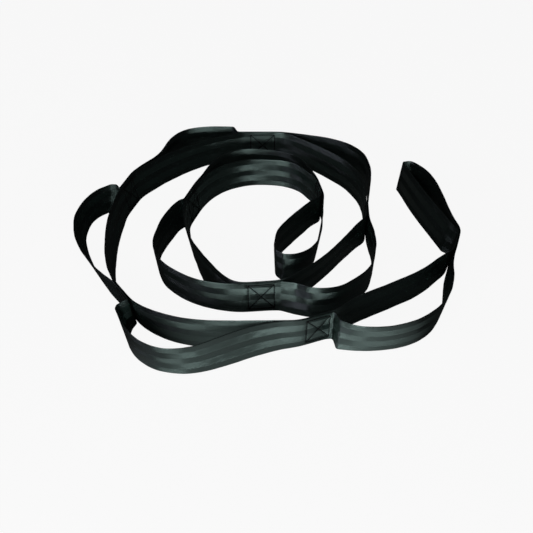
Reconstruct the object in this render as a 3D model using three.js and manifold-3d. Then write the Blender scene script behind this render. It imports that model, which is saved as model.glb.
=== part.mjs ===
// Stretching strap: a long band of doubled webbing, sewn together at nine seams so that it
// forms a chain of ten loops. It stands on the edge of the webbing in a loose spiral.
// Millimetres, +Z up, ground at z = 0, origin under the middle of the whole strap.
import * as THREE from "three";
import { mergeVertices } from "three/addons/utils/BufferGeometryUtils.js";
import Module from "manifold-3d";

// Webbing
const WEB_WIDTH = 38;
const WEB_THICKNESS = 1.4;
const PLY_GAP = 0.4;

// Seams: two plies sewn together with a box and a cross
const SEAM_LENGTH = 40;
const HINGE_GAP = 2;
const STITCH_BOX_LENGTH = 32;
const STITCH_BOX_HEIGHT = 30;
const THREAD_WIDTH = 1.2;
const THREAD_HEIGHT = 0.6;
const THREAD_GAP = 0.3;

// Mesh steps
const STEPS_PER_SPAN = 3;
const TANGENT_GUARD = 4;
const SHARPEST_MITRE = 0.5;

// The layout below is drawn from its own corner; this moves it over the origin
const LAYOUT_SHIFT = [0, -28];

const OUTER = 1;
const INNER = -1;

// Seams from the outer end of the spiral to the inner end. `at` is the middle of the seam's
// foot, `heading` the direction of travel towards the inner end, and `lean` how far the top
// edge tips out of the spiral. Angles are in degrees.
const SEAMS = [
  { at: [221, 7], heading: -101, lean: 16 },
  { at: [58, -167], heading: -152, lean: 6 },
  { at: [-159, -110], heading: 117, lean: 16 },
  { at: [-168, 146], heading: 72, lean: 15 },
  { at: [-5, 278], heading: 0, lean: 0 },
  { at: [122, 81], heading: -90, lean: 4 },
  { at: [-6, -101], heading: -173, lean: -6 },
  { at: [-89.5, 119], heading: 73, lean: 10 },
  { at: [65, 133], heading: -80, lean: 3 },
];

// The two runs of each loop as [x, y, lean] at points that the foot of the webbing passes.
// A run with a `pleat` turns sharply at each rung of it on its way into the seam. A rung
// stands at a foot; its top edge is `tip` out from over the foot and `rise` above it.
const LOOPS = [
  {
    start: { at: [166, 193], tip: [8, 6] },
    outer: { points: [[178, 192, 18], [193, 172, 19], [204, 140, 17], [212, 98, 16], [219, 55, 16]] },
    inner: { points: [[172, 172, 15], [182, 134, 18], [193, 99, 19], [205, 64, 21]], pleat: [{ at: [214, 36], tip: [14, 5] }] },
  },
  {
    outer: {
      points: [
        [212.5, -41, 16], [209, -76, 19], [204, -109, 19], [196, -135, 16],
        [183, -159, 12], [160, -178, 12], [130, -187, 12], [104, -188, 8],
      ],
      pleat: [{ at: [80, -184], tip: [5, 2] }],
    },
    inner: { points: [[204, -34, 9], [180, -67, 6], [140, -100, 5], [100, -131, 4]] },
  },
  {
    outer: {
      points: [
        [14, -186, -3], [-19, -203, -12], [-53, -223, -9], [-84, -235, 3], [-112, -233, 12],
        [-134, -221, 13], [-150, -199, 13], [-157, -181, 14],
      ],
      pleat: [{ at: [-159, -167], tip: [-16, 18], rise: 34 }, { at: [-156, -142], tip: [-17, 1] }],
    },
    inner: { points: [[4, -177, 7], [-40, -180, 4], [-76, -179, 3], [-105, -170, 5], [-132, -150, 11]] },
  },
  {
    outer: {
      points: [
        [-183, -66, 22], [-194, -41, 26], [-206, -10, 29], [-216, 24, 28],
        [-223, 62, 20], [-220, 98, 9], [-212, 118, 5],
      ],
      pleat: [{ at: [-196, 134], tip: [0, 4] }, { at: [-188, 133], tip: [0, 5] }],
    },
    inner: { points: [[-175, -68, 18], [-181, -36, 18], [-183, 10, 19], [-182, 54, 20], [-178, 95, 18]] },
  },
  {
    outer: {
      points: [[-154, 186, 9], [-138, 218, 0], [-126, 256, 0], [-110, 282, 0], [-80, 293, 0]],
      pleat: [{ at: [-44, 293], tip: [1, 0] }, { at: [-38, 279], tip: [0, 0] }],
    },
    inner: { points: [[-137, 200, 10], [-112, 228, 5], [-78, 256, 0]] },
  },
  {
    outer: { points: [[46, 275, -4], [78, 264, -2], [104, 247, 1], [121, 222, 4], [128, 190, 5], [128, 150, 5]] },
    inner: { points: [[38, 264, 1], [57, 245, 3], [78, 222, 6], [99, 191, 7], [115, 146, 6]] },
  },
  {
    outer: {
      points: [
        [125, 38, 5], [128, 8, 6], [126, -24, 7], [119, -56, 9], [102, -86, 6], [80, -107, 4], [56, -116, -8],
      ],
      pleat: [{ at: [32, -109], tip: [3, 12] }],
    },
    inner: { points: [[114, 50, 4], [96, 22, 8], [76, -14, 9], [58, -43, 8], [38, -72, 3]] },
  },
  {
    outer: {
      points: [
        [-52, -101, 1], [-80, -89, 5], [-103, -70, 6], [-120, -46, 9], [-130, -8, 11], [-128, 28, 8], [-119, 57, 12], [-110, 83, 10],
      ],
      pleat: [{ at: [-103, 94], tip: [-5, 5] }],
    },
    inner: { points: [[-43, -92, 1], [-58, -73, -2], [-71, -48, -2], [-80, -14, 7], [-90, 34, 14], [-94, 68, 13]] },
  },
  {
    outer: {
      points: [
        [-79, 158, 6], [-71, 186, 3], [-57, 214, 1], [-32, 232, -3], [0, 232, -4], [29, 221, -2], [47, 199, 0], [57, 173, 1],
      ],
    },
    inner: {
      points: [[-72, 162, 6], [-60, 180, 4], [-44, 193, 2], [-24, 202, 0], [0, 204, -3], [26, 198, 0], [43, 185, 0], [53, 166, 1]],
    },
  },
  {
    end: { at: [20, -34], tip: [0, 0] },
    outer: { points: [[69, 98, 2], [67, 78, 4], [63, 56, 9], [60, 36, 12], [57, 8, 11], [46, -20, 8], [33, -31, 4]] },
    inner: { points: [[58, 102, 2], [44, 78, -1], [28, 51, -2], [15, 24, -2], [11, 2, -1], [11, -20, -2]] },
  },
];

// ---------------------------------------------------------------- places and directions

const UP = new THREE.Vector3(0, 0, 1);
const toRadians = THREE.MathUtils.degToRad;

function directionOf(degrees) {
  return new THREE.Vector3(Math.cos(toRadians(degrees)), Math.sin(toRadians(degrees)), 0);
}

function leftOf(direction) {
  return new THREE.Vector3().crossVectors(UP, direction).normalize();
}

function onGround([x, y]) {
  return new THREE.Vector3(x + LAYOUT_SHIFT[0], y + LAYOUT_SHIFT[1], 0);
}

// A rung crosses the webbing from its foot on the ground to its top edge
function rung(foot, tip, rise = Math.sqrt(WEB_WIDTH ** 2 - tip.lengthSq())) {
  return { foot, top: foot.clone().add(tip).addScaledVector(UP, rise) };
}

function leaningRung(foot, travel, lean) {
  return rung(foot, leftOf(travel).multiplyScalar(WEB_WIDTH * Math.sin(toRadians(lean))));
}

function tippedRung({ at, tip: [x, y], rise }) {
  return rung(onGround(at), new THREE.Vector3(x, y, 0), rise);
}

// The rung of one ply of a seam, `along` from its middle, on its outer or inner side
function seamRung(seam, along, side) {
  const travel = directionOf(seam.heading);
  const aside = (side * (WEB_THICKNESS + PLY_GAP)) / 2 / Math.cos(toRadians(seam.lean));
  const foot = onGround(seam.at).addScaledVector(travel, along).addScaledVector(leftOf(travel), aside);
  return leaningRung(foot, travel, seam.lean);
}

// ---------------------------------------------------------------- webbing

// One leg of a run: smooth curves along the foot and the top edge, cut into rungs again
function smoothLeg(rungs) {
  const feet = new THREE.CatmullRomCurve3(rungs.map((r) => r.foot));
  const tops = new THREE.CatmullRomCurve3(rungs.map((r) => r.top));
  const steps = (rungs.length - 1) * STEPS_PER_SPAN;
  return Array.from({ length: steps + 1 }, (_, i) => {
    return { foot: feet.getPoint(i / steps), top: tops.getPoint(i / steps) };
  });
}

// A run of webbing: a long box bent along its rungs, with a mitre where its legs meet
function webbing(legs) {
  const rungs = legs.flatMap((leg, i) => (i ? leg.slice(1) : leg));
  const last = rungs.length - 1;
  const sections = rungs.map(({ foot, top }, i) => {
    const before = foot.clone().sub(rungs[Math.max(i - 1, 0)].foot).normalize();
    const after = rungs[Math.min(i + 1, last)].foot.clone().sub(foot).normalize();
    const travel = before.clone().add(after).normalize();
    const mitre = 1 / Math.max(travel.dot(i ? before : after), SHARPEST_MITRE);
    const height = top.clone().sub(foot);
    const across = height.clone().cross(travel).setLength(WEB_THICKNESS * mitre);
    return { foot, height, across, lift: Math.abs(across.z) / 2 };
  });
  const geometry = new THREE.BoxGeometry(1, 1, 1, last, 1, 1);
  const position = geometry.attributes.position;
  for (let i = 0; i < position.count; i++) {
    const { foot, height, across, lift } = sections[Math.round((position.getX(i) + 0.5) * last)];
    const corner = foot.clone().addScaledVector(UP, lift);
    corner.addScaledVector(across, position.getY(i));
    corner.addScaledVector(height, position.getZ(i) + 0.5);
    position.setXYZ(i, corner.x, corner.y, corner.z);
  }
  geometry.computeVertexNormals();
  return geometry;
}

// The legs of one run: out of the seam before it, round the loop, and through the seam after
function runLegs(loop, run, before, after, side) {
  const seamEnd = SEAM_LENGTH / 2;
  const starts = before
    ? [HINGE_GAP / 2, TANGENT_GUARD].map((past) => seamRung(before, seamEnd + past, side))
    : [foldRung(loop.start, run.points[0], side)];
  const intoSeam = after && seamRung(after, -seamEnd, side);
  const pleat = run.pleat ? run.pleat.map(tippedRung) : [];
  let ends = [];
  if (!after) ends = [foldRung(loop.end, run.points[run.points.length - 1], side)];
  else if (run.pleat) ends = [pleat[0]];
  else ends = [seamRung(after, -seamEnd - TANGENT_GUARD, side), intoSeam];

  const feet = run.points.map(onGround);
  const firstFoot = starts[starts.length - 1].foot;
  const way = run.points.map(([, , lean], i) => {
    const from = i ? feet[i - 1] : firstFoot;
    const to = i < feet.length - 1 ? feet[i + 1] : ends[0].foot;
    return leaningRung(feet[i], to.clone().sub(from), lean);
  });
  const legs = [smoothLeg([...starts, ...way, ...ends])];
  if (run.pleat) legs.push([...pleat, intoSeam]);
  if (after) legs.push([intoSeam, seamRung(after, seamEnd - HINGE_GAP / 2, side)]);
  return legs;
}

// Where a run starts or ends at an end fold. The inner run butts against the outer one.
function foldRung(fold, nextPoint, side) {
  const { foot, top } = tippedRung(fold);
  if (side === OUTER) return { foot, top };
  const back = onGround(nextPoint).sub(foot).setLength(WEB_THICKNESS / 2 + 2 * PLY_GAP);
  return { foot: foot.add(back), top: top.add(back) };
}

// ---------------------------------------------------------------- sewing thread

const wasm = await Module();
wasm.setup();

function solidOf(geometry) {
  const bare = geometry.clone();
  bare.deleteAttribute("normal");
  bare.deleteAttribute("uv");
  const merged = mergeVertices(bare);
  return new wasm.Manifold(
    new wasm.Mesh({
      numProp: 3,
      vertProperties: new Float32Array(merged.attributes.position.array),
      triVerts: new Uint32Array(merged.index.array),
    }),
  );
}

function geometryOf(solid) {
  const mesh = solid.getMesh();
  const geometry = new THREE.BufferGeometry();
  geometry.setAttribute("position", new THREE.BufferAttribute(mesh.vertProperties, 3));
  geometry.setIndex(new THREE.BufferAttribute(mesh.triVerts, 1));
  return geometry;
}

// A bar of thread in the plane of the webbing, between two points of that plane
function threadBar([x1, z1], [x2, z2]) {
  const length = Math.hypot(x2 - x1, z2 - z1);
  const bar = new THREE.BoxGeometry(length + THREAD_WIDTH, THREAD_HEIGHT, THREAD_WIDTH);
  bar.rotateY(-Math.atan2(z2 - z1, x2 - x1));
  bar.translate((x1 + x2) / 2, 0, (z1 + z2) / 2);
  return solidOf(bar);
}

// The box and the cross that are sewn through both plies
function stitchPattern() {
  const x = STITCH_BOX_LENGTH / 2;
  const z = STITCH_BOX_HEIGHT / 2;
  const corners = [[-x, -z], [x, -z], [x, z], [-x, z]];
  const lines = corners.map((corner, i) => [corner, corners[(i + 1) % corners.length]]);
  lines.push([corners[0], corners[2]], [corners[1], corners[3]]);
  const pattern = lines.map(([from, to]) => threadBar(from, to)).reduce((a, b) => a.add(b));
  return geometryOf(pattern);
}

// ---------------------------------------------------------------- assembly

const strap = new THREE.Group();

function addPiece(parent, name, geometry, material) {
  const mesh = new THREE.Mesh(geometry, material);
  mesh.name = name;
  parent.add(mesh);
  return mesh;
}

function webbingMaterial(side) {
  return new THREE.MeshStandardMaterial({
    color: side === OUTER ? 0x26302e : 0x1d2625,
    roughness: 0.5,
    metalness: 0,
  });
}

function threadMaterial() {
  return new THREE.MeshStandardMaterial({ color: 0x0b0e0e, roughness: 0.7, metalness: 0 });
}

function numbered(name, index) {
  return `${name}_${String(index + 1).padStart(2, "0")}`;
}

LOOPS.forEach((loop, i) => {
  for (const [side, name] of [[OUTER, "outer_run"], [INNER, "inner_run"]]) {
    const run = side === OUTER ? loop.outer : loop.inner;
    const legs = runLegs(loop, run, SEAMS[i - 1], SEAMS[i], side);
    addPiece(strap, numbered(name, i), webbing(legs), webbingMaterial(side));
  }
});

const pattern = stitchPattern();
SEAMS.forEach((seam, i) => {
  const lean = toRadians(seam.lean);
  const sewing = new THREE.Group();
  sewing.position.copy(onGround(seam.at)).setZ((WEB_THICKNESS / 2) * Math.abs(Math.sin(lean)));
  sewing.rotation.set(-lean, 0, toRadians(seam.heading), "ZYX");
  strap.add(sewing);
  const face = PLY_GAP / 2 + WEB_THICKNESS + THREAD_GAP + THREAD_HEIGHT / 2;
  for (const [side, name] of [[OUTER, "needle_thread"], [INNER, "bobbin_thread"]]) {
    const thread = addPiece(sewing, numbered(name, i), pattern, threadMaterial());
    thread.position.set(-HINGE_GAP / 4, side * face, WEB_WIDTH / 2);
  }
});

export default strap;
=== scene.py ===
import math

import bpy
import numpy as np
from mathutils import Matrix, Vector


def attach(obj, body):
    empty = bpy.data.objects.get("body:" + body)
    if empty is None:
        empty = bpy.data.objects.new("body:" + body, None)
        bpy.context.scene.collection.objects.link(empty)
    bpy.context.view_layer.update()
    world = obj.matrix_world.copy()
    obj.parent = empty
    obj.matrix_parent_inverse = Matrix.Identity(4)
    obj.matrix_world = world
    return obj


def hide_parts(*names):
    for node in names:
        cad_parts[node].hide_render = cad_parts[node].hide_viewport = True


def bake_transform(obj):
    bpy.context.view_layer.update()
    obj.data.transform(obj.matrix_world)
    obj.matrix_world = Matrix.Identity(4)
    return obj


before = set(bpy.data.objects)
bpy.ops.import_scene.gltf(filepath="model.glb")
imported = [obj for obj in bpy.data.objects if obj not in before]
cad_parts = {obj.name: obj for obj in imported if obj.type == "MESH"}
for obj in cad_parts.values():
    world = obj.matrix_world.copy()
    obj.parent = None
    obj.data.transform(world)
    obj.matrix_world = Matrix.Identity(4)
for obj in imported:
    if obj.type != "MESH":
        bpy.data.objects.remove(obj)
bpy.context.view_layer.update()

MM = 0.001

# ---------------------------------------------------------------- camera

LAYOUT_SHIFT = np.array([0.0, -28.0])
CAMERA_ELEVATION = math.radians(31)
CAMERA_DISTANCE = 2.9
SENSOR_WIDTH = 36.0
FOCAL_LENGTH = 161.34

camera_data = bpy.data.cameras.new("camera")
camera_data.sensor_width = SENSOR_WIDTH
camera_data.lens = FOCAL_LENGTH
camera_data.clip_end = 50
camera = bpy.data.objects.new("camera", camera_data)
bpy.context.scene.collection.objects.link(camera)
camera_back = Vector((0, -math.cos(CAMERA_ELEVATION), math.sin(CAMERA_ELEVATION)))
camera_target = Vector((*(LAYOUT_SHIFT * MM), 0))
camera.location = camera_target + camera_back * CAMERA_DISTANCE
camera.rotation_mode = "QUATERNION"
camera.rotation_quaternion = (-camera_back).to_track_quat("-Z", "Y")
bpy.context.scene.camera = camera

# ---------------------------------------------------------------- the strap's route, in mm

WEB_WIDTH = 38.0
WEB_THICKNESS = 1.4
PLY_GAP = 0.4
SEAM_LENGTH = 40.0
HINGE_GAP = 2.0
TANGENT_GUARD = 4.0
SPAN_POINTS = 24
STITCH_BOX_LENGTH = 31.0
STITCH_BOX_HEIGHT = 30.0
OUTER, INNER = 1, -1

# The middle of each seam's foot, the heading towards the inner end, and the outward lean
SEAMS = [
    ((221, 7), -101, 16), ((58, -167), -152, 6), ((-159, -110), 117, 16),
    ((-168, 146), 72, 15), ((-5, 278), 0, 0), ((122, 81), -90, 4),
    ((-6, -101), -173, -6), ((-89.5, 119), 73, 10), ((65, 133), -80, 3),
]

# Points (x, y, lean) of the two runs of each loop, then the rungs of a pleat as
# (x, y, how far the top stands out in x and y, and the rise where it isn't the width's).
# They are the points of the solids, but for a few of loop 6, which lie up to 3.5 mm off them.
OUTER_RUNS = [
    ([(178, 192, 18), (193, 172, 19), (204, 140, 17), (212, 98, 16), (219, 55, 16)], []),
    ([(212.5, -41, 16), (209, -76, 19), (204, -109, 19), (196, -135, 16), (183, -159, 12),
      (160, -178, 12), (130, -187, 12), (104, -188, 8)], [(80, -184, 5, 2)]),
    ([(14, -186, -3), (-19, -203, -12), (-53, -223, -9), (-84, -235, 3), (-112, -233, 12),
      (-134, -221, 13), (-150, -199, 13), (-157, -181, 14)],
     [(-159, -167, -16, 18, 34), (-156, -142, -17, 1)]),
    ([(-183, -66, 22), (-194, -41, 26), (-206, -10, 29), (-216, 24, 28), (-223, 62, 20),
      (-220, 98, 9), (-212, 118, 5)], [(-196, 134, 0, 4), (-188, 133, 0, 5)]),
    ([(-154, 186, 9), (-138, 218, 0), (-126, 256, 0), (-110, 282, 0), (-80, 293, 0)],
     [(-44, 293, 1, 0), (-38, 279, 0, 0)]),
    ([(46, 275, -4), (78, 264, -2), (104, 247, 1), (121, 222, 4), (127, 190, 6.5),
      (128, 150, 5)], []),
    ([(125, 38, 5), (128, 8, 6), (126, -24, 7), (119, -56, 9), (102, -86, 6),
      (80, -107, 4), (56, -116, -8)], [(32, -109, 3, 12)]),
    ([(-52, -101, 1), (-80, -89, 5), (-103, -70, 6), (-120, -46, 9), (-130, -8, 11),
      (-128, 28, 8), (-119, 57, 12), (-110, 83, 10)], [(-103, 94, -5, 5)]),
    ([(-79, 158, 6), (-71, 186, 3), (-57, 214, 1), (-32, 232, -3), (0, 232, -4),
      (29, 221, -2), (47, 199, 0), (57, 173, 1)], []),
    ([(69, 98, 2), (67, 78, 4), (63, 56, 9), (60, 36, 12), (57, 8, 11), (46, -20, 8),
      (33, -31, 4)], []),
]
INNER_RUNS = [
    ([(172, 172, 15), (182, 134, 18), (193, 99, 19), (205, 64, 21)], [(214, 36, 14, 5)]),
    ([(204, -34, 9), (180, -67, 6), (140, -100, 5), (100, -131, 4)], []),
    ([(4, -177, 7), (-40, -180, 4), (-76, -179, 3), (-105, -170, 5), (-132, -150, 11)], []),
    ([(-175, -68, 18), (-181, -36, 18), (-183, 10, 19), (-182, 54, 20), (-178, 95, 18)], []),
    ([(-137, 200, 10), (-112, 228, 5), (-78, 256, 0)], []),
    ([(38, 264, 1), (57, 245, 3), (78, 222, 6), (101, 192, 7), (118.5, 146, 6)], []),
    ([(114, 50, 4), (96, 22, 8), (76, -14, 9), (58, -43, 8), (38, -72, 3)], []),
    ([(-43, -92, 1), (-58, -73, -2), (-71, -48, -2), (-80, -14, 7), (-90, 34, 14), (-94, 68, 13)], []),
    ([(-72, 162, 6), (-60, 180, 4), (-44, 193, 2), (-24, 202, 0), (0, 204, -3),
      (26, 198, 0), (43, 185, 0), (53, 166, 1)], []),
    ([(58, 102, 2), (44, 78, -1), (28, 51, -2), (15, 24, -2), (11, 2, -1), (11, -20, -2)], []),
]
START_FOLD = (166, 193, 8, 6)
END_FOLD = (20, -34, 0, 0)

UP = np.array([0.0, 0.0, 1.0])


def unit(v):
    """A vector, or each row of an array, at length one."""
    return v / np.linalg.norm(v, axis=-1, keepdims=True)


def heading_vector(degrees):
    a = math.radians(degrees)
    return np.array([math.cos(a), math.sin(a), 0.0])


def left_of(travel):
    """The level direction to the left of a way along the ground."""
    return unit(np.cross(UP, travel))


def on_ground(x, y):
    return np.array([x + LAYOUT_SHIFT[0], y + LAYOUT_SHIFT[1], 0.0])


def rung(foot, tip, rise=None):
    """A foot and the top edge over it, as one row of six numbers."""
    if rise is None:
        rise = math.sqrt(WEB_WIDTH ** 2 - float(tip @ tip))
    return np.concatenate([foot, foot + tip + rise * UP])


def tipped_rung(x, y, dx, dy, rise=None):
    return rung(on_ground(x, y), np.array([dx, dy, 0.0]), rise)


def leaning_rung(foot, travel, lean):
    """A rung across a way of travel, whose top leans out to the left by an angle in degrees."""
    return rung(foot, left_of(travel) * WEB_WIDTH * math.sin(math.radians(lean)))


def seam_rung(index, along, side):
    """A rung of one ply of a seam, some way along from its middle."""
    (x, y), heading, lean = SEAMS[index]
    travel = heading_vector(heading)
    aside = side * (WEB_THICKNESS + PLY_GAP) / 2 / math.cos(math.radians(lean))
    foot = on_ground(x, y) + travel * along + left_of(travel) * aside
    return leaning_rung(foot, travel, lean)


def catmull(points):
    """A centripetal Catmull-Rom curve through points, the kind of curve that the solids follow."""
    p = np.vstack([2 * points[0] - points[1], points, 2 * points[-1] - points[-2]])
    t = np.linspace(0, 1, SPAN_POINTS, endpoint=False)[:, None]
    spans = []
    for i in range(len(points) - 1):
        p0, p1, p2, p3 = p[i:i + 4]
        d0, d1, d2 = (math.sqrt(np.linalg.norm(b - a)) for a, b in ((p0, p1), (p1, p2), (p2, p3)))
        m1 = ((p1 - p0) / d0 - (p2 - p0) / (d0 + d1) + (p2 - p1) / d1) * d1
        m2 = ((p2 - p1) / d1 - (p3 - p1) / (d1 + d2) + (p3 - p2) / d2) * d1
        spans.append(
            (2 * t ** 3 - 3 * t ** 2 + 1) * p1 + (t ** 3 - 2 * t ** 2 + t) * m1
            + (3 * t ** 2 - 2 * t ** 3) * p2 + (t ** 3 - t ** 2) * m2
        )
    return np.vstack([*spans, points[-1:]])


def smooth_leg(rungs):
    """Smooth curves through the feet and through the top edges of some rungs."""
    rungs = np.array(rungs)
    return np.hstack([catmull(rungs[:, :3]), catmull(rungs[:, 3:])])


def run_rungs(index, side):
    """Rungs all along one run, from the seam before it to the end of the seam after it."""
    points, pleat = (OUTER_RUNS if side == OUTER else INNER_RUNS)[index]
    seam_end = SEAM_LENGTH / 2
    last = index == len(SEAMS)
    pleat = [tipped_rung(*p) for p in pleat]
    if index == 0:
        starts = [fold_rung(START_FOLD, points[0], side)]
    else:
        starts = [seam_rung(index - 1, seam_end + past, side) for past in (HINGE_GAP / 2, TANGENT_GUARD)]
    if last:
        ends = [fold_rung(END_FOLD, points[-1], side)]
    elif pleat:
        ends = pleat[:1]
    else:
        ends = [seam_rung(index, -seam_end - guard, side) for guard in (TANGENT_GUARD, 0)]
    feet = [on_ground(x, y) for x, y, _ in points]
    way = []
    for i, (_, _, lean) in enumerate(points):
        before = feet[i - 1] if i else starts[-1][:3]
        after = feet[i + 1] if i + 1 < len(feet) else ends[0][:3]
        way.append(leaning_rung(feet[i], after - before, lean))
    parts = [smooth_leg([*starts, *way, *ends])]
    if not last:
        parts += [np.array(r)[None] for r in pleat[1:]]
        parts += [seam_rung(index, along, side)[None] for along in (-seam_end, seam_end - HINGE_GAP / 2)]
    return np.vstack(parts)


def fold_rung(fold, next_point, side):
    """Where a ply meets an end fold. The inner ply starts a little way from the outer one."""
    made = tipped_rung(*fold)
    if side == INNER:
        way = on_ground(*next_point[:2]) - made[:3]
        made = made + np.tile(unit(way) * (WEB_THICKNESS / 2 + 2 * PLY_GAP), 2)
    return made


# ---------------------------------------------------------------- the webbing as one closed ring of rungs

RING_STEP = 0.5
CREASE_SOFTNESS = 1.9
BEND_SOFTNESS = 7.5
CREASE_REACH = (9.0, 30.0)
CREASE_SHADE_REACH = 8.0
CREASE_SHADE_AMOUNT = 0.85


def arc_lengths(rungs):
    """How far along the webbing every rung is, at half its width."""
    middle = (rungs[:, :3] + rungs[:, 3:]) / 2
    return np.concatenate([[0], np.cumsum(np.linalg.norm(np.diff(middle, axis=0), axis=1))])


def closed_ring():
    """Evenly spaced rungs round both plies, their arc lengths, the whole length and which are outer."""
    outer_ply = np.vstack([run_rungs(i, OUTER) for i in range(len(OUTER_RUNS))])
    inner_ply = np.vstack([run_rungs(i, INNER) for i in range(len(INNER_RUNS))])
    uneven = np.vstack([outer_ply, inner_ply[::-1], outer_ply[:1]])
    uneven_arc = arc_lengths(uneven)
    whole = uneven_arc[-1]
    arc = np.linspace(0, whole, int(round(whole / RING_STEP)), endpoint=False)
    rungs = np.stack([np.interp(arc, uneven_arc, uneven[:, c]) for c in range(6)], axis=1)
    return rungs, arc, whole, arc < arc_lengths(outer_ply)[-1] + WEB_THICKNESS / 2


def soften(rows, sigma):
    """A Gaussian average round the ring, which rounds creases and folds."""
    reach = int(4 * sigma / RING_STEP)
    kernel = np.exp(-0.5 * (np.arange(-reach, reach + 1) * RING_STEP / sigma) ** 2)
    kernel /= kernel.sum()
    padded = np.vstack([rows[-reach:], rows, rows[:reach]])
    return np.stack([np.convolve(padded[:, c], kernel, "valid") for c in range(rows.shape[1])], axis=1)


def nearest(point, side):
    """The number of the rung whose foot is nearest to a point, on one ply."""
    gap = np.linalg.norm(ring[:, :3] - point, axis=1)
    return int(np.argmin(np.where(on_outer == (side == OUTER), gap, np.inf)))


def gap_along(spots):
    """How far along the ring every rung is from the nearest of some points."""
    gap = np.full(ring_count, np.inf)
    for point, side in spots:
        away = np.abs(np.arange(ring_count) - nearest(point, side))
        gap = np.minimum(gap, np.minimum(away, ring_count - away) * RING_STEP)
    return gap


def fold_spot(fold):
    return on_ground(*fold[:2]), OUTER


def pleat_spots(runs, side):
    return [(on_ground(*p[:2]), side) for _, pleat in runs for p in pleat]


ring, ring_arc, ring_length, on_outer = closed_ring()
ring_count = len(ring)

# The first fold and the pleats at seams 1 and 4 get painted shade, a darker colour in the creases, and more
# roughness, which lessens their sheen
crease_shade_spots = [fold_spot(START_FOLD)]
crease_shade_spots += pleat_spots(INNER_RUNS[:1], INNER) + pleat_spots(OUTER_RUNS[3:4], OUTER)
crease_dull_and_shade = CREASE_SHADE_AMOUNT * np.exp(-(gap_along(crease_shade_spots) / CREASE_SHADE_REACH) ** 2)

# Folds and pleats stay tight, and every other bend is a slow one
creases = [fold_spot(START_FOLD), fold_spot(END_FOLD)]
creases += pleat_spots(OUTER_RUNS, OUTER) + pleat_spots(INNER_RUNS, INNER)
slow = np.clip((gap_along(creases) - CREASE_REACH[0]) / (CREASE_REACH[1] - CREASE_REACH[0]), 0, 1)
slow = (slow * slow * (3 - 2 * slow))[:, None]
ring = soften(ring, CREASE_SOFTNESS) * (1 - slow) + soften(ring, BEND_SOFTNESS) * slow

seam_at = {
    (i, side): nearest(seam_rung(i, 0, side)[:3], side)
    for i in range(len(SEAMS)) for side in (OUTER, INNER)
}


# ---------------------------------------------------------------- section of the webbing

HALF = WEB_WIDTH / 2
HALF_BODY = 0.61
SELVEDGE = 1.1
HEM = 2.5
HEM_RELIEF = 0.05

# Two lengthwise bands, from 3.6 to 11.8 mm off the middle of the width
BAND_INNER = 3.6
BAND_OUTER = 11.8
BAND_STEP = 0.25
BAND_RELIEF = 0.06

# Heights up to the middle, close together at the selvedge and at the edges of the bands
LOWER_HEIGHTS = sorted({
    0.0, 0.1, 0.35, 0.7, 1.1, 2.0, 3.6, 5.4, 8.8, 10.6, 12.4, 14.1, 17.2, HALF,
    *(HALF - edge + step for edge in (BAND_OUTER, BAND_INNER) for step in (-BAND_STEP, BAND_STEP)),
})
PROFILE = np.array(LOWER_HEIGHTS + [WEB_WIDTH - a for a in LOWER_HEIGHTS[-2::-1]])


def half_thickness(height):
    """Half the webbing's thickness at a height: bands in slight relief and round selvedges."""
    off = abs(height - HALF)
    body = HALF_BODY + BAND_RELIEF * (BAND_INNER < off < BAND_OUTER) + HEM_RELIEF * (off > HALF - HEM)
    past = max(0.0, off - (HALF - SELVEDGE)) / SELVEDGE
    return body * math.sqrt(max(0.0, 1 - past ** 2))


THICK = np.array([half_thickness(a) for a in PROFILE])

# ---------------------------------------------------------------- waves in the webbing

WAVE_COUNT = 14
WAVE_LENGTHS = (16, 85)
WAVE_SIZES = (0.3, 1.0)
WAVE_SLANT = 0.09
WAVE_SCALE = 2.6
CALM_REACH = 30

rng = np.random.default_rng(7)


def random_wave(wavelength):
    """The height of a wave, its angle per mm along and across the webbing, and its phase."""
    size = rng.uniform(*WAVE_SIZES) / wavelength
    slant = rng.uniform(-WAVE_SLANT, WAVE_SLANT)
    return size, 2 * math.pi / wavelength, slant, rng.uniform(0, 2 * math.pi)


WAVES = [random_wave(wavelength) for wavelength in rng.uniform(*WAVE_LENGTHS, WAVE_COUNT)]


def waviness(arc, height):
    """Soft undulation of the webbing, in mm, at arc lengths (rows) and heights (columns)."""
    total = np.zeros((len(arc), len(height)))
    for size, k, slant, phase in WAVES:
        total += size * np.sin(k * arc[:, None] + slant * height[None] + phase)
    return total * WAVE_SCALE


def wave_share():
    """How much of the waves every rung has: none in the seams, and all well away from them."""
    share = np.ones(ring_count)
    for centre in seam_at.values():
        away = np.abs(np.arange(ring_count) - centre) * RING_STEP
        share = np.minimum(share, np.clip((away - SEAM_LENGTH / 2) / CALM_REACH, 0, 1))
    return share


# ---------------------------------------------------------------- the lines of sewing

FAR = 99.0
GROOVE_WIDTH = 1.05
GROOVE_DEPTH = 0.22
PUFF = 0.14
PUFF_REACH = 3.5
PUFF_LEAST_BODY = 0.5


def stitch_lines():
    """The sides of the box and its two diagonals, about the middle of a seam."""
    x, z = STITCH_BOX_LENGTH / 2, STITCH_BOX_HEIGHT / 2
    corners = [np.array(c) for c in ((-x, -z), (x, -z), (x, z), (-x, z))]
    lines = [(corners[i], corners[(i + 1) % 4]) for i in range(4)]
    return lines + [(corners[0], corners[2]), (corners[1], corners[3])]


def stitch_distance(along, height):
    """Distance from points of a seam to the nearest line of sewing."""
    p = np.stack(np.broadcast_arrays(along[:, None], height[None] - HALF), axis=-1)
    best = np.full(p.shape[:2], FAR)
    for a, b in stitch_lines():
        t = np.clip(((p - a) @ (b - a)) / ((b - a) @ (b - a)), 0, 1)
        best = np.minimum(best, np.linalg.norm(p - (a + t[..., None] * (b - a)), axis=-1))
    return best


# ---------------------------------------------------------------- surface of the webbing

FINE_RUNGS, COARSE_RUNGS = 2, 4
SHARP_TURN = 0.06
SEAM_MARGIN = 2


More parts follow.
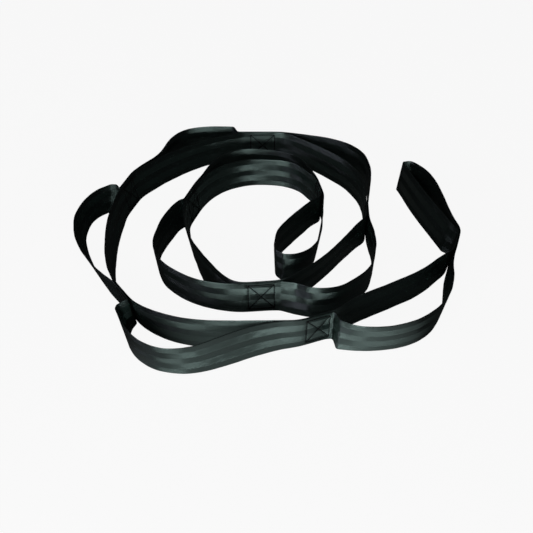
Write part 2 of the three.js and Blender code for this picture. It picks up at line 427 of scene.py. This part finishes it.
def seam_positions():
    """How far along its seam every rung of a seam is, and not a number for the other rungs."""
    along = np.full(ring_count, np.nan)
    reach = int((SEAM_LENGTH / 2 + SEAM_MARGIN) / RING_STEP)
    for (_, side), centre in seam_at.items():
        span = np.arange(centre - reach, centre + reach + 1)
        along[span] = (span - centre) * RING_STEP * side
    return along


def rungs_to_keep():
    """Rungs close together in the seams and wherever the webbing turns sharply, and fewer elsewhere."""
    turning = np.linalg.norm(np.roll(ring_travel, -2, axis=0) - np.roll(ring_travel, 2, axis=0), axis=1)
    step = np.where((turning > SHARP_TURN) | ~np.isnan(seam_along), FINE_RUNGS, COARSE_RUNGS)
    found, next_one = [], 0
    for i in range(ring_count):
        if i >= next_one or step[i] < step[i - 1]:
            found.append(i)
            next_one = i + step[i]
    return np.array(found)


def outward_normals(points):
    """Normals of the shell, taken round the whole ring so that pieces of it meet unseen."""
    lengthwise = np.roll(points, -1, axis=0) - np.roll(points, 1, axis=0)
    crosswise = np.roll(points, -1, axis=1) - np.roll(points, 1, axis=1)
    normals = unit(np.cross(crosswise, lengthwise))
    from_middle = points - points.mean(axis=1, keepdims=True)
    outward = np.einsum("ijk,ijk->ij", normals, from_middle).mean()
    return normals if outward > 0 else -normals


ring_middle = (ring[:, :3] + ring[:, 3:]) / 2
ring_travel = unit(np.roll(ring_middle, -1, axis=0) - np.roll(ring_middle, 1, axis=0))
ring_height = ring[:, 3:] - ring[:, :3]
ring_out = unit(np.cross(unit(ring_height), ring_travel))
seam_along = seam_positions()

kept = rungs_to_keep()
kept_arc = ring_arc[kept]
kept_out = ring_out[kept, None]
in_seam = ~np.isnan(seam_along[kept])

wave = waviness(kept_arc, PROFILE) * wave_share()[kept, None]
share_of_height = (PROFILE / WEB_WIDTH)[None, :, None]
sheet_middle = ring[kept, None, :3] + ring_height[kept, None] * share_of_height + kept_out * wave[..., None]

stitch_gap = np.full((len(kept), len(PROFILE)), FAR)
stitch_gap[in_seam] = stitch_distance(seam_along[kept][in_seam], PROFILE)
groove = np.exp(-(stitch_gap / GROOVE_WIDTH) ** 2)
puff = PUFF * np.clip(stitch_gap / PUFF_REACH, 0, 1) * (THICK > PUFF_LEAST_BODY)

# The plus face looks out of a seam on both plies, so the sewing is on that one
sewn_thick = np.where(in_seam[:, None], THICK - GROOVE_DEPTH * groove + puff, THICK)
plus = sheet_middle + kept_out * sewn_thick[..., None]
minus = sheet_middle - kept_out * THICK[:, None]
shell = np.concatenate([plus, minus[:, -2:0:-1]], axis=1)
lift = -shell[..., 2].min(axis=1)
shell[..., 2] += lift[:, None]
shell_normal = outward_normals(shell)

heights_round = np.concatenate([PROFILE, PROFILE[-2:0:-1]])
# Painted shade: how far the colour is darkened, in the stitch grooves and at the creases of the first fold
# and two pleats
groove_and_crease_shade = np.concatenate([groove * in_seam[:, None], np.zeros_like(groove[:, -2:0:-1])], axis=1)
groove_and_crease_shade = np.maximum(groove_and_crease_shade, crease_dull_and_shade[kept, None])


def new_object(name, mesh):
    made = bpy.data.objects.new(name, mesh)
    bpy.context.scene.collection.objects.link(made)
    return made


def strip_faces(n, m):
    """The sides of a closed strip of n rungs with m points round each, and the faces of its ends."""
    index = np.arange(n * m).reshape(n, m)
    a, b = index[:-1], index[1:]
    sides = np.stack([a, np.roll(a, -1, axis=1), np.roll(b, -1, axis=1), b], axis=-1).reshape(-1, 4)
    ends = []
    for row, flip in ((index[0], True), (index[-1], False)):
        for j in range(m // 2):
            face = list(dict.fromkeys([row[(m - j) % m], row[j], row[j + 1], row[m - j - 1]]))
            ends.append(face[::-1] if flip else face)
    return [list(f) for f in sides], ends


def corner_vertices(mesh):
    found = np.zeros(len(mesh.loops), int)
    mesh.loops.foreach_get("vertex_index", found)
    return found


def webbing_piece(name, rows, material):
    """A closed piece of the ring, from one kept rung to another."""
    points = shell[rows]
    n, m = points.shape[:2]
    sides, ends = strip_faces(n, m)
    mesh = bpy.data.meshes.new(name)
    mesh.from_pydata((points.reshape(-1, 3) * MM).tolist(), [], sides + ends)
    mesh.polygons.foreach_set("use_smooth", [True] * len(sides) + [False] * len(ends))

    arc = np.repeat(kept_arc[rows], m)
    height = np.tile(heights_round, n)
    uv = mesh.uv_layers.new(name="webbing")
    uv.data.foreach_set("uv", np.stack([arc, height], axis=1)[corner_vertices(mesh)].ravel() * MM)
    # The weave attribute carries the arc, the height off the middle, and the painted shade of the stitch
    # grooves and creases
    weave = mesh.attributes.new("weave", "FLOAT_VECTOR", "POINT")
    values = np.stack([arc, height - HALF, groove_and_crease_shade[rows].ravel()], axis=1)
    weave.data.foreach_set("vector", values.astype(np.float32).ravel())

    if np.dot(mesh.polygons[0].normal, shell_normal[rows][0, 0]) < 0:
        mesh.flip_normals()
    normals = np.zeros(len(mesh.loops) * 3, np.float32)
    mesh.corner_normals.foreach_get("vector", normals)
    normals = normals.reshape(-1, 3)
    side_corners = np.arange(len(sides) * 4)
    normals[side_corners] = shell_normal[rows].reshape(-1, 3)[corner_vertices(mesh)[side_corners]]
    mesh.normals_split_custom_set(normals.tolist())
    mesh.materials.append(material)
    return new_object(name, mesh)


# ---------------------------------------------------------------- sewing thread

STITCH_PITCH = 2.9
STITCH_LENGTH = 2.7
STITCH_STEPS = 7
STITCH_LOW = 0.34
STITCH_ARCH = 0.42
THREAD_RADIUS = 0.48
THREAD_TAPER = 0.28
THREAD_SIDES = 6
THREAD_ANGLES = np.linspace(0, 2 * math.pi, THREAD_SIDES, endpoint=False)


def seam_surface(index, side, along, height, proud):
    """A point on the outward face of one ply of a seam."""
    centre = seam_at[index, side]
    row = np.searchsorted(kept, centre + along * side / RING_STEP)
    at = kept[row]
    spot = ring[at, :3] + ring_height[at] * (height / WEB_WIDTH)
    spot = spot + ring_travel[at] * ((centre - at) * RING_STEP + along * side)
    return spot + ring_out[at] * proud + UP * lift[row]


def stitch_points(index, side, start, reach):
    """Rings of points round one stitch, which arches out of the webbing and is thinner at its ends."""
    progress = np.linspace(0, 1, STITCH_STEPS)
    centres = []
    for t in progress:
        x, z = start + reach * t
        proud = STITCH_LOW + STITCH_ARCH * math.sin(math.pi * t) ** 0.6
        centres.append(seam_surface(index, side, x, z + HALF, proud))
    centres = np.array(centres)
    forward = unit(np.gradient(centres, axis=0))
    face_out = unit(seam_surface(index, side, start[0], start[1] + HALF, 1.0)
                    - seam_surface(index, side, start[0], start[1] + HALF, 0.0))
    aside = unit(np.cross(forward, face_out))
    above = np.cross(aside, forward)
    points = []
    for t, c, u, v in zip(progress, centres, aside, above):
        r = THREAD_RADIUS * (1 - THREAD_TAPER + THREAD_TAPER * math.sin(math.pi * t))
        points += [c + r * (math.cos(angle) * u + math.sin(angle) * v) for angle in THREAD_ANGLES]
    return points


def stitch_faces(first):
    """Faces of one stitch whose points start at a number."""
    faces = []
    for k in range(STITCH_STEPS - 1):
        p, q = first + k * THREAD_SIDES, first + (k + 1) * THREAD_SIDES
        for j in range(THREAD_SIDES):
            following = (j + 1) % THREAD_SIDES
            faces.append([p + j, p + following, q + following, q + j])
    last = first + (STITCH_STEPS - 1) * THREAD_SIDES
    faces.append([first + j for j in range(THREAD_SIDES)][::-1])
    faces.append([last + j for j in range(THREAD_SIDES)])
    return faces


def stitch_mesh(name, index, side):
    """All the stitches on one face of a seam."""
    points, faces = [], []
    for a, b in stitch_lines():
        length = np.linalg.norm(b - a)
        count = max(1, round(length / STITCH_PITCH))
        pitch = length / count
        way = (b - a) / length
        long = pitch * STITCH_LENGTH / STITCH_PITCH
        for s in range(count):
            start = a + way * pitch * (s + (1 - STITCH_LENGTH / STITCH_PITCH) / 2)
            faces += stitch_faces(len(points))
            points += stitch_points(index, side, start, way * long)
    mesh = bpy.data.meshes.new(name)
    mesh.from_pydata((np.array(points) * MM).tolist(), [], faces)
    mesh.polygons.foreach_set("use_smooth", [True] * len(faces))
    return mesh


# ---------------------------------------------------------------- materials


class Nodes:
    """A small helper that adds shader nodes and joins them."""

    def __init__(self, name):
        self.material = bpy.data.materials.new(name)
        self.material.use_nodes = True
        self.tree = self.material.node_tree
        self.tree.nodes.clear()

    def add(self, kind, settings=None, **inputs):
        """A new node. An input is named, with _ for a space, or is i and its number."""
        node = self.tree.nodes.new(kind)
        for key, value in (settings or {}).items():
            setattr(node, key, value)
        for key, value in inputs.items():
            numbered = key[0] == "i" and key[1:].isdigit()
            self.put(node.inputs[int(key[1:]) if numbered else key.replace("_", " ")], value)
        return node

    def put(self, socket, value):
        if isinstance(value, bpy.types.NodeSocket):
            self.tree.links.new(value, socket)
        elif isinstance(value, bpy.types.Node):
            self.tree.links.new(value.outputs[0], socket)
        else:
            socket.default_value = value

    def math(self, operation, a, b=0.0, c=0.0, clamp=False):
        return self.add("ShaderNodeMath", {"operation": operation, "use_clamp": clamp}, i0=a, i1=b, i2=c)

    def times(self, a, b):
        return self.math("MULTIPLY", a, b)

    def plus(self, a, b):
        return self.math("ADD", a, b)

    def about_zero(self, noise, spread):
        """A noise value, moved and scaled so that it runs evenly to either side of zero."""
        return self.math("MULTIPLY_ADD", noise, spread, -spread / 2)

    def vector(self, operation, a, b=(0, 0, 0)):
        return self.add("ShaderNodeVectorMath", {"operation": operation}, i0=a, i1=b)

    def ramp(self, value, low, high, to_low=0.0, to_high=1.0):
        settings = {"interpolation_type": "SMOOTHSTEP"}
        return self.add("ShaderNodeMapRange", settings, i0=value, i1=low, i2=high, i3=to_low, i4=to_high)

    def mix(self, factor, a, b):
        node = self.add("ShaderNodeMix", {"data_type": "RGBA"}, i0=factor)
        self.put(node.inputs[6], a)
        self.put(node.inputs[7], b)
        return node.outputs[2]

    def finish(self, shader):
        self.add("ShaderNodeOutputMaterial", Surface=shader.outputs[0])
        return self.material


PLAIN_COLOUR = (0.0030, 0.0040, 0.0040, 1)
BAND_COLOUR = (0.0060, 0.0098, 0.0088, 1)
WORN_COLOUR = (0.022, 0.026, 0.027, 1)
# Painted shade: the near-black colour of the stitch grooves and the creases
PAINTED_SHADE_COLOUR = (0.0018, 0.002, 0.002, 1)
SHEEN_TINT = (0.72, 1.0, 0.94, 1)
THREAD_COLOURS = ((0.0010, 0.0012, 0.0012, 1), (0.0030, 0.0034, 0.0034, 1))

BAND_BLUR = 0.5
BAND_WANDER = 0.5
YARN_PITCH = 0.62
TWILL_PER_MM = (0.62, 1.15)
STREAKS_PER_MM = (0.055, 0.34)
FLECKS_PER_MM = (0.5, 2.4)
WORN_REACH = (0.9, 0.1)

# How far the shading leans along the webbing
BAND_LEAN = 0.15
STREAK_LEAN = 0.4
FLECK_LEAN = 0.14

ROUGHNESS = 0.42
BAND_SMOOTHER = -0.06
FLECK_ROUGHNESS = 0.12
GROOVE_AND_CREASE_ROUGHNESS = 0.5


def bands(n, arc, off):
    """One in the two bands and nothing beside them, with edges that wander by a fraction of a yarn."""
    wander = n.add("ShaderNodeTexNoise", {"noise_dimensions": "1D"}, W=arc, Scale=0.35, Detail=2.0)
    off = n.plus(off, n.about_zero(wander.outputs[0], BAND_WANDER))
    past_inner = n.ramp(off, BAND_INNER - BAND_BLUR, BAND_INNER + BAND_BLUR)
    past_outer = n.ramp(off, BAND_OUTER - BAND_BLUR, BAND_OUTER + BAND_BLUR)
    return n.math("SUBTRACT", past_inner, past_outer), off


def weave_relief(n, arc, across, slope):
    """Twill lines, one way in the bands and the other way between them, over lengthwise yarns."""
    diagonal = n.math("MULTIPLY_ADD", n.times(across, TWILL_PER_MM[1]), slope, n.times(arc, TWILL_PER_MM[0]))
    twill = n.math("SINE", n.times(diagonal, 2 * math.pi))
    yarns = n.math("SINE", n.times(across, 2 * math.pi / YARN_PITCH))
    return n.math("MULTIPLY_ADD", twill, 0.6, n.times(yarns, 0.35))


def stretched_noise(n, arc, across, per_mm, **settings):
    spot = n.add("ShaderNodeCombineXYZ", i0=n.times(arc, per_mm[0]), i1=n.times(across, per_mm[1]))
    return n.add("ShaderNodeTexNoise", Vector=spot, Scale=1.0, **settings).outputs[0]


def leaned_normal(n, tangent, slope, streaks, flecks):
    """The normal, leaned along the length one way in the bands and the other way between them."""
    tilt = n.plus(n.times(slope, BAND_LEAN), n.about_zero(streaks, STREAK_LEAN))
    tilt = n.plus(tilt, n.about_zero(flecks, FLECK_LEAN))
    lean = n.add("ShaderNodeVectorMath", {"operation": "SCALE"}, i0=tangent)
    n.put(lean.inputs["Scale"], tilt)
    normal = n.add("ShaderNodeNewGeometry").outputs["Normal"]
    return n.vector("NORMALIZE", n.vector("ADD", normal, lean))


def webbing_material():
    n = Nodes("webbing")
    weave = n.add("ShaderNodeAttribute", {"attribute_name": "weave"})
    split = n.add("ShaderNodeSeparateXYZ", i0=weave.outputs["Vector"])
    arc, across, painted_shade = split.outputs[0], split.outputs[1], split.outputs[2]
    band, off = bands(n, arc, n.math("ABSOLUTE", across))
    slope = n.math("MULTIPLY_ADD", band, 2.0, -1.0)
    streaks = stretched_noise(n, arc, across, STREAKS_PER_MM, Detail=3.0, Roughness=0.55)
    flecks = stretched_noise(n, arc, across, FLECKS_PER_MM, Detail=2.0)

    tangent = n.add("ShaderNodeTangent", {"direction_type": "UV_MAP", "uv_map": "webbing"})
    normal = leaned_normal(n, tangent, slope, streaks, flecks)
    relief = weave_relief(n, arc, across, slope)
    bump = n.add("ShaderNodeBump", Height=relief, Strength=0.35, Distance=0.00012, Normal=normal)

    colour = n.mix(band, PLAIN_COLOUR, BAND_COLOUR)
    worn = n.ramp(off, HALF - WORN_REACH[0], HALF - WORN_REACH[1], 0.0, 0.35)
    colour = n.mix(worn, colour, WORN_COLOUR)
    # Painted shade: nearly black in the stitch grooves and creases, and rougher there
    colour = n.mix(n.times(painted_shade, 0.9), colour, PAINTED_SHADE_COLOUR)
    rough = n.math("MULTIPLY_ADD", band, BAND_SMOOTHER, ROUGHNESS)
    rough = n.plus(rough, n.about_zero(flecks, FLECK_ROUGHNESS))
    rough = n.math("ADD", rough, n.times(painted_shade, GROOVE_AND_CREASE_ROUGHNESS), clamp=True)

    shader = n.add("ShaderNodeBsdfPrincipled", Base_Color=colour, Roughness=rough, Normal=bump)
    n.put(shader.inputs["Tangent"], tangent)
    n.put(shader.inputs["IOR"], 2.0)
    n.put(shader.inputs["Specular IOR Level"], 0.7)
    n.put(shader.inputs["Specular Tint"], SHEEN_TINT)
    n.put(shader.inputs["Anisotropic"], 0.9)
    n.put(shader.inputs["Anisotropic Rotation"], 0.25)
    return n.finish(shader)


def thread_material():
    n = Nodes("thread")
    place = n.add("ShaderNodeTexCoord").outputs["Object"]
    noise = n.add("ShaderNodeTexNoise", Vector=place, Scale=900.0, Detail=2.0).outputs[0]
    diagonal = {"wave_type": "BANDS", "bands_direction": "DIAGONAL"}
    twist = n.add("ShaderNodeTexWave", diagonal, Vector=place, Scale=700.0, Distortion=1.0)
    bump = n.add("ShaderNodeBump", Height=twist.outputs[1], Strength=0.4, Distance=0.00008)
    colour = n.mix(noise, *THREAD_COLOURS)
    rough = n.math("MULTIPLY_ADD", noise, 0.2, 0.5)
    shader = n.add("ShaderNodeBsdfPrincipled", Base_Color=colour, Roughness=rough, Normal=bump)
    n.put(shader.inputs["Specular IOR Level"], 0.15)
    return n.finish(shader)


# The floor as the camera sees it, and where what the webbing reflects of it fades out, in metres
FLOOR_SEEN = 0.92
FLOOR_GLOW = 0.46
GLOW_FRONT = (-0.18, -0.235)
GLOW_MIDDLE = 0.055
GLOW_ASIDE = (0.08, 0.26)
GLOW_LEAST = 0.04


def floor_material():
    """Evenly pale to look at. What the webbing reflects of it is brightest at the front."""
    n = Nodes("floor")
    place = n.add("ShaderNodeTexCoord").outputs["Object"]
    split = n.add("ShaderNodeSeparateXYZ", i0=place)
    front = n.ramp(split.outputs[1], *GLOW_FRONT, GLOW_LEAST, 1.0)
    off_middle = n.math("ABSOLUTE", n.plus(split.outputs[0], -GLOW_MIDDLE))
    aside = n.ramp(off_middle, *GLOW_ASIDE, 1.0, GLOW_LEAST)
    reflected = n.times(n.times(front, aside), FLOOR_GLOW)
    ray = n.add("ShaderNodeLightPath")
    strength = n.add("ShaderNodeMix", {"data_type": "FLOAT"}, i0=ray.outputs["Is Camera Ray"])
    n.put(strength.inputs[2], reflected)
    n.put(strength.inputs[3], FLOOR_SEEN)
    shader = n.add("ShaderNodeBsdfPrincipled", Base_Color=(0.07, 0.07, 0.07, 1), Roughness=0.9)
    n.put(shader.inputs["Emission Color"], (1, 1, 1, 1))
    n.put(shader.inputs["Emission Strength"], strength)
    return n.finish(shader)


# ---------------------------------------------------------------- pieces

WEBBING = webbing_material()
THREAD = thread_material()
BEND_LENGTH = 26.0
LAST_SEAM = len(SEAMS) - 1


def loop_name(k):
    return f"loop_{k:02d}"


def halfway(index, side):
    """The kept rung halfway round a loop, between its two seams."""
    a, b = seam_at[index - 1, side], seam_at[index, side]
    return int(np.searchsorted(kept, (a + b) // 2))


def rows_between(a, b):
    """Kept rungs from one to another, past the end of the list where the ring closes."""
    if b > a:
        return np.arange(a, b + 1)
    return np.concatenate([np.arange(a, len(kept)), np.arange(0, b + 1)])


def hinge_points(index):
    """Where the webbing starts and stops bending at the inner end of a seam."""
    (x, y), heading, lean = SEAMS[index]
    way = heading_vector(heading)
    pivot = on_ground(x, y) + way * SEAM_LENGTH / 2
    pivot += left_of(way) * HALF * math.sin(math.radians(lean)) + UP * HALF
    return pivot * MM, (pivot + way * BEND_LENGTH) * MM


def finish_webbing(name, rows, index, nodes):
    """One piece of webbing about one seam, which stands for some of the solids."""
    piece = webbing_piece(name, rows, WEBBING)
    start, end = hinge_points(index)
    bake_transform(piece)
    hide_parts(*nodes)


def webbing_at_seam(index):
    """The webbing from halfway round one loop to halfway round the next, joined up at the two ends."""
    outer_runs, inner_runs = (
        [f"{word}_run_{k:02d}" for k in (index + 1, index + 2)] for word in ("outer", "inner")
    )
    if index == 0:
        rows = rows_between(halfway(1, INNER), halfway(1, OUTER))
        finish_webbing("webbing_outer_end", rows, index, outer_runs + inner_runs)
    elif index == LAST_SEAM:
        rows = rows_between(halfway(index, OUTER), halfway(index, INNER))
        finish_webbing("webbing_inner_end", rows, index, outer_runs + inner_runs)
    else:
        outer_rows = rows_between(halfway(index, OUTER), halfway(index + 1, OUTER))
        inner_rows = rows_between(halfway(index + 1, INNER), halfway(index, INNER))
        finish_webbing(f"webbing_outer_{index + 1:02d}", outer_rows, index, outer_runs)
        finish_webbing(f"webbing_inner_{index + 1:02d}", inner_rows, index, inner_runs)


def sewing_at_seam(index):
    """The stitches on both faces of a seam, which move with the loop before it."""
    for side, word in ((OUTER, "needle"), (INNER, "bobbin")):
        mesh = stitch_mesh(f"{word}_stitches_{index + 1:02d}", index, side)
        mesh.materials.append(THREAD)
        sewing = new_object(mesh.name, mesh)
        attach(sewing, loop_name(index + 1))
        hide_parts(f"{word}_thread_{index + 1:02d}")


for index in range(len(SEAMS)):
    webbing_at_seam(index)
    sewing_at_seam(index)

# ---------------------------------------------------------------- floor, light and background

FLOOR_SIZE = 8.0
FLOOR_DROP = 0.0002

# Name, place, width and height, power and colour
LIGHTS = [
    ("key", (-0.25, -2.4, 0.56), (2.0, 0.5), 31, (1, 1, 1)),
    ("top", (-0.2, -0.6, 2.4), (1.2, 1.2), 4, (1, 1, 1)),
    ("fill_left", (-2.4, -0.9, 0.9), (1.2, 0.8), 6.5, (1.0, 0.8, 1.0)),
]
WORLD_SEEN = 0.93
WORLD_GLOW = 0.014


def pale_floor():
    c = FLOOR_SIZE / 2
    mesh = bpy.data.meshes.new("floor")
    mesh.from_pydata([(-c, -c, 0), (c, -c, 0), (c, c, 0), (-c, c, 0)], [], [(0, 1, 2, 3)])
    mesh.materials.append(floor_material())
    floor = new_object("floor", mesh)
    floor.location.z = -FLOOR_DROP
    floor.visible_diffuse = False


def area_light(name, location, size, power, colour):
    """A rectangular light that faces the middle of the strap."""
    data = bpy.data.lights.new(name, "AREA")
    data.shape = "RECTANGLE"
    data.size, data.size_y = size
    data.energy = power
    data.color = colour
    light = bpy.data.objects.new(name, data)
    bpy.context.scene.collection.objects.link(light)
    light.location = location
    light.rotation_mode = "QUATERNION"
    light.rotation_quaternion = (-Vector(location)).to_track_quat("-Z", "Y")


def pale_world():
    """Pale to look at, and nearly dark in what the webbing reflects of it."""
    world = bpy.data.worlds.new("world")
    world.use_nodes = True
    nodes, links = world.node_tree.nodes, world.node_tree.links
    background = nodes["Background"]
    background.inputs[0].default_value = (1, 1, 1, 1)
    ray = nodes.new("ShaderNodeLightPath")
    strength = nodes.new("ShaderNodeMapRange")
    strength.inputs["To Min"].default_value = WORLD_GLOW
    strength.inputs["To Max"].default_value = WORLD_SEEN
    links.new(ray.outputs["Is Camera Ray"], strength.inputs["Value"])
    links.new(strength.outputs[0], background.inputs[1])
    return world


pale_floor()
for light in LIGHTS:
    area_light(*light)
bpy.context.scene.world = pale_world()
bpy.context.scene.view_settings.view_transform = "Standard"
bpy.context.scene.view_settings.look = "None"
